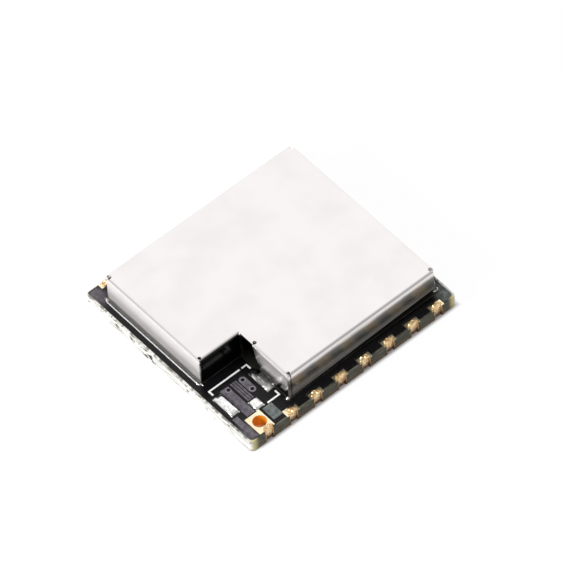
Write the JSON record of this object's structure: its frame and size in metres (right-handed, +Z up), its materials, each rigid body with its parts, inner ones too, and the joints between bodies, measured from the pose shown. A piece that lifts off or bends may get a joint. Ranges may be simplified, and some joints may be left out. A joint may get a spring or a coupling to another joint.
{
  "type": "lora module",
  "caption": "Surface-mount radio module: black board with plated half-holes on two edges under a folded metal shield can with a notched corner for an antenna socket.",
  "frame": {"origin": "middle of the board's underside, on the plane of the lower lands that the module rests on", "axes": "+X along the plated edges away from the notched corner, +Y across the board from the antenna's row to the other row, +Z up out of the lid"},
  "size_m": [0.017, 0.016, 0.0032],
  "materials": {
    "laminate": "sawn glass-fibre laminate",
    "solder_mask": "glossy black lacquer",
    "gold_plating": "thin gold over nickel and copper",
    "bare_copper": "etched copper foil",
    "solder": "bright tin solder",
    "white_ink": "screen-printed ink",
    "can_metal": "satin tin-plated sheet",
    "tinned_terminals": "tinned",
    "moulding_compound": "moulded, fine matt",
    "crystal_ceramic": "dark alumina",
    "crystal_lid_metal": "rolled metal lid",
    "ferrite": "pressed ferrite",
    "capacitor_ceramic": "sintered ceramic",
    "inductor_ceramic": "sintered ceramic",
    "resistor_glaze": "glazed"
  },
  "bodies": {
    "root": {"board_laminate": "laminate", "capacitor_bodies": "capacitor_ceramic", "capacitor_ends": "tinned_terminals", "castellated_pad_01": "gold_plating", "castellated_pad_02": "gold_plating", "castellated_pad_03": "gold_plating", "castellated_pad_04": "gold_plating", "castellated_pad_05": "gold_plating", "castellated_pad_06": "gold_plating", "castellated_pad_07": "gold_plating", "castellated_pad_08": "gold_plating", "castellated_pad_09": "gold_plating", "castellated_pad_10": "gold_plating", "castellated_pad_11": "gold_plating", "castellated_pad_12": "gold_plating", "castellated_pad_13": "gold_plating", "castellated_pad_14": "gold_plating", "castellated_pad_15": "gold_plating", "castellated_pad_16": "gold_plating", "component_lands": "gold_plating", "component_solder": "solder", "covered_copper": "bare_copper", "crystal_base": "crystal_ceramic", "crystal_lid": "crystal_lid_metal", "ground_tinning_left": "solder", "ground_tinning_right": "solder", "inductor_bodies": "inductor_ceramic", "inductor_ends": "tinned_terminals", "lower_solder_mask": "solder_mask", "power_inductor_core": "ferrite", "power_inductor_ends": "tinned_terminals", "printed_outline": "white_ink", "resistor_bodies": "resistor_glaze", "resistor_ends": "tinned_terminals", "shield_can": "can_metal", "shield_ring_land": "solder", "shield_solder": "solder", "signal_tinning": "solder", "socket_ground_land_left": "gold_plating", "socket_ground_land_right": "gold_plating", "socket_signal_land": "gold_plating", "switch_body": "moulding_compound", "switch_leads": "tinned_terminals", "transceiver_body": "moulding_compound", "transceiver_leads": "tinned_terminals", "upper_solder_mask": "solder_mask"}
  },
  "joints": []
}
